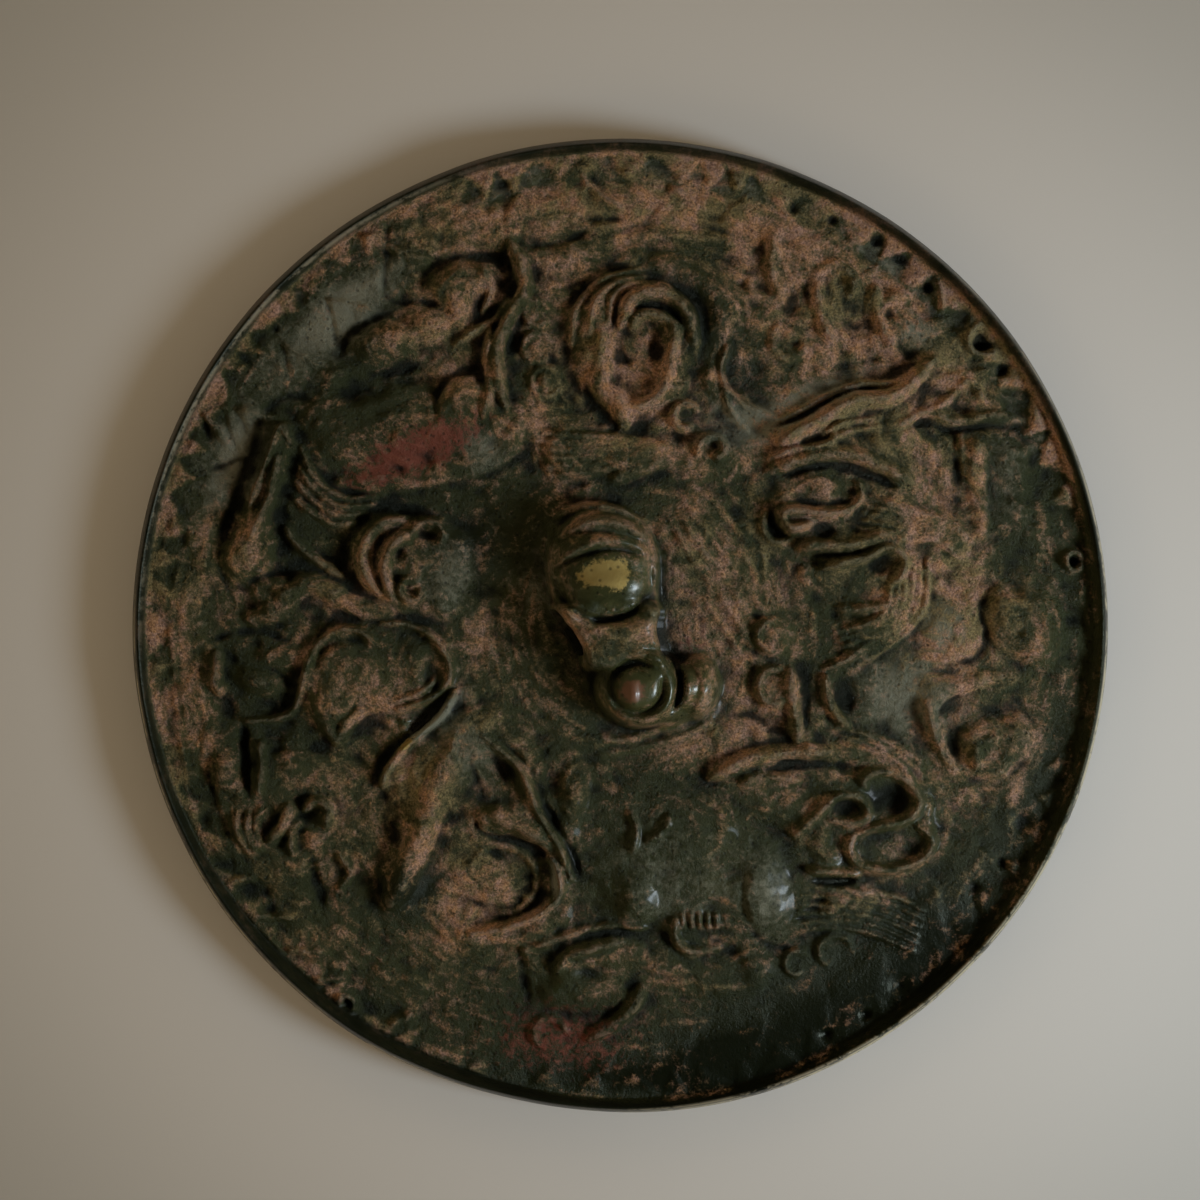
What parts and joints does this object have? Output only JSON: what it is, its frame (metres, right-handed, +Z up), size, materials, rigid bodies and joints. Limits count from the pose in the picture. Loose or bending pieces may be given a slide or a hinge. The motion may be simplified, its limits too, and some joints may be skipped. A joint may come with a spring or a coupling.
{
  "type": "bronze mirror",
  "caption": "Round cast bronze mirror lying on its plain face, its back in high relief with coiling beasts, a toothed border and a pierced central knob.",
  "frame": {"origin": "middle of the plain polished face, which is the underside as the mirror lies", "axes": "+Z up through the relief and the knob, +X along the cord hole, +Y towards the spiral head"},
  "size_m": [0.15, 0.1497, 0.0117],
  "materials": {
    "bronze": "cast bronze under a dark green-black patina with red-brown earth in the hollows, worn to the metal on the knob and the rim"
  },
  "bodies": {
    "root": {"mirror": "bronze"}
  },
  "joints": []
}
